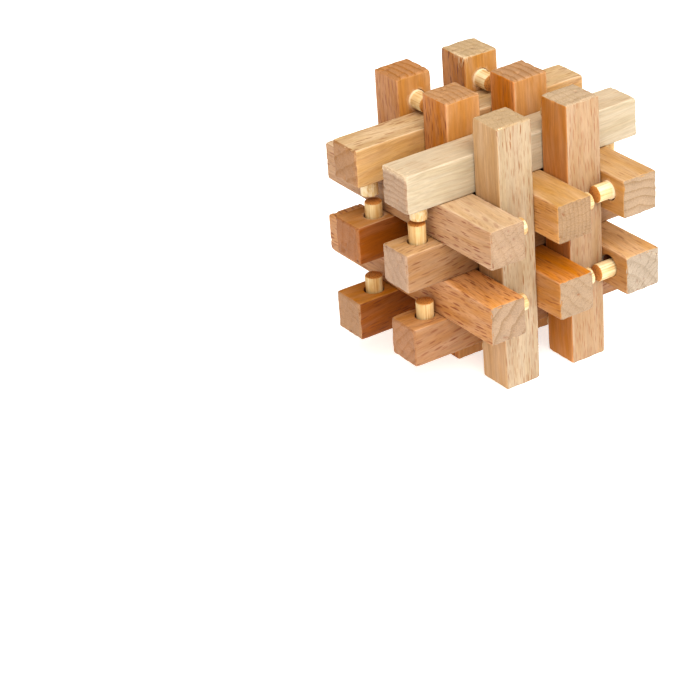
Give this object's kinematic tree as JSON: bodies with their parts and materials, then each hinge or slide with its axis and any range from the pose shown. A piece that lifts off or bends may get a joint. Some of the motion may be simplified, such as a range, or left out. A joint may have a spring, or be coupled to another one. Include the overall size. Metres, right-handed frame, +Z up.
{
  "type": "burr puzzle",
  "caption": "Cube-shaped interlocking puzzle of crossed square wooden sticks, locked by round wooden pins near their ends; single-pinned middle sticks slide out.",
  "frame": {"origin": "on the surface the puzzle stands on, under the middle of the whole puzzle's outline", "axes": "+Z up along the uprights, +X along the rails towards the ends without a key pin, +Y along the beams, away from the side the middle beams pull out of"},
  "size_m": [0.073, 0.072, 0.0707],
  "materials": {
    "beech_pale": "fine-sanded steamed beech with ray flecks, unvarnished",
    "beech_honey": "fine-sanded steamed beech with ray flecks, unvarnished",
    "beech_pink": "fine-sanded steamed beech with ray flecks, unvarnished",
    "beech_tan": "fine-sanded steamed beech with ray flecks, unvarnished",
    "beech_orange": "fine-sanded steamed beech with ray flecks, unvarnished",
    "beech_brown": "fine-sanded steamed beech with ray flecks, unvarnished",
    "bamboo": "bare split bamboo, long fibres and a speckled end"
  },
  "bodies": {
    "rail_top_back": {"rail_top_back": "beech_honey", "rail_top_back_pin_left": "bamboo", "rail_top_back_pin_right": "bamboo"},
    "rail_top_front": {"rail_top_front": "beech_pale", "rail_top_front_pin_left": "bamboo", "rail_top_front_pin_right": "bamboo"},
    "rail_middle_back": {"rail_middle_back": "beech_brown", "rail_middle_back_pin_left": "bamboo"},
    "rail_middle_front": {"rail_middle_front": "beech_pink", "rail_middle_front_pin_left": "bamboo"},
    "rail_bottom_back": {"rail_bottom_back": "beech_brown", "rail_bottom_back_pin_left": "bamboo", "rail_bottom_back_pin_right": "bamboo"},
    "rail_bottom_front": {"rail_bottom_front": "beech_tan", "rail_bottom_front_pin_left": "bamboo", "rail_bottom_front_pin_right": "bamboo"},
    "beam_upper_left": {"beam_upper_left": "beech_honey", "beam_upper_left_pin_front": "bamboo", "beam_upper_left_pin_back": "bamboo"},
    "beam_upper_middle": {"beam_upper_middle": "beech_honey", "beam_upper_middle_pin_front": "bamboo"},
    "beam_upper_right": {"beam_upper_right": "beech_honey", "beam_upper_right_pin_front": "bamboo", "beam_upper_right_pin_back": "bamboo"},
    "beam_lower_left": {"beam_lower_left": "beech_orange", "beam_lower_left_pin_front": "bamboo", "beam_lower_left_pin_back": "bamboo"},
    "beam_lower_middle": {"beam_lower_middle": "beech_orange", "beam_lower_middle_pin_front": "bamboo"},
    "beam_lower_right": {"beam_lower_right": "beech_tan", "beam_lower_right_pin_front": "bamboo", "beam_lower_right_pin_back": "bamboo"},
    "upright_back_left": {"upright_back_left": "beech_orange", "upright_back_left_pin_bottom": "bamboo", "upright_back_left_pin_top": "bamboo"},
    "upright_back_right": {"upright_back_right": "beech_tan", "upright_back_right_pin_bottom": "bamboo", "upright_back_right_pin_top": "bamboo"},
    "upright_middle_left": {"upright_middle_left": "beech_orange", "upright_middle_left_pin_bottom": "bamboo"},
    "upright_middle_right": {"upright_middle_right": "beech_orange", "upright_middle_right_pin_bottom": "bamboo"},
    "upright_front_left": {"upright_front_left": "beech_pale", "upright_front_left_pin_bottom": "bamboo", "upright_front_left_pin_top": "bamboo"},
    "upright_front_right": {"upright_front_right": "beech_pink", "upright_front_right_pin_bottom": "bamboo", "upright_front_right_pin_top": "bamboo"}
  },
  "joints": [
    {"name": "rail_top_back_slide", "type": "slide", "parent": "upright_front_left", "child": "rail_top_back", "axis": [1, 0, 0], "range_m": [-0.0009, 0.001]},
    {"name": "rail_top_front_slide", "type": "slide", "parent": "upright_front_left", "child": "rail_top_front", "axis": [1, 0, 0], "range_m": [-0.00118, 0.00072]},
    {"name": "rail_middle_back_slide", "type": "slide", "parent": "upright_front_left", "child": "rail_middle_back", "axis": [1, 0, 0], "range_m": [-0.075, 0.00077]},
    {"name": "rail_middle_front_slide", "type": "slide", "parent": "upright_front_left", "child": "rail_middle_front", "axis": [1, 0, 0], "range_m": [-0.075, 0.00105]},
    {"name": "rail_bottom_back_slide", "type": "slide", "parent": "upright_front_left", "child": "rail_bottom_back", "axis": [1, 0, 0], "range_m": [-0.0002, 0.0017]},
    {"name": "rail_bottom_front_slide", "type": "slide", "parent": "upright_front_left", "child": "rail_bottom_front", "axis": [1, 0, 0], "range_m": [-0.00165, 0.00025]},
    {"name": "beam_upper_left_slide", "type": "slide", "parent": "upright_front_left", "child": "beam_upper_left", "axis": [0, 1, 0], "range_m": [-0.00095, 0.00095]},
    {"name": "beam_upper_middle_slide", "type": "slide", "parent": "upright_front_left", "child": "beam_upper_middle", "axis": [0, 1, 0], "range_m": [-0.075, 0.00055]},
    {"name": "beam_upper_right_slide", "type": "slide", "parent": "upright_front_left", "child": "beam_upper_right", "axis": [0, 1, 0], "range_m": [-0.0017, 0.0002]},
    {"name": "beam_lower_left_slide", "type": "slide", "parent": "upright_front_left", "child": "beam_lower_left", "axis": [0, 1, 0], "range_m": [-0.00155, 0.00035]},
    {"name": "beam_lower_middle_slide", "type": "slide", "parent": "upright_front_left", "child": "beam_lower_middle", "axis": [0, 1, 0], "range_m": [-0.075, 0.0002]},
    {"name": "beam_lower_right_slide", "type": "slide", "parent": "upright_front_left", "child": "beam_lower_right", "axis": [0, 1, 0], "range_m": [-0.0017, 0.0002]},
    {"name": "upright_back_left_slide", "type": "slide", "parent": "upright_front_left", "child": "upright_back_left", "axis": [0, 0, 1], "range_m": [-0.00065, 0.00125]},
    {"name": "upright_back_right_slide", "type": "slide", "parent": "upright_front_left", "child": "upright_back_right", "axis": [0, 0, 1], "range_m": [-0.00065, 0.00125]},
    {"name": "upright_middle_left_slide", "type": "slide", "parent": "upright_front_left", "child": "upright_middle_left", "axis": [0, 0, 1], "range_m": [-0.075, 0.00125]},
    {"name": "upright_middle_right_slide", "type": "slide", "parent": "upright_front_left", "child": "upright_middle_right", "axis": [0, 0, 1], "range_m": [-0.075, 0.00125]},
    {"name": "upright_front_right_slide", "type": "slide", "parent": "upright_front_left", "child": "upright_front_right", "axis": [0, 0, 1], "range_m": [-0.00065, 0.00125]}
  ]
}
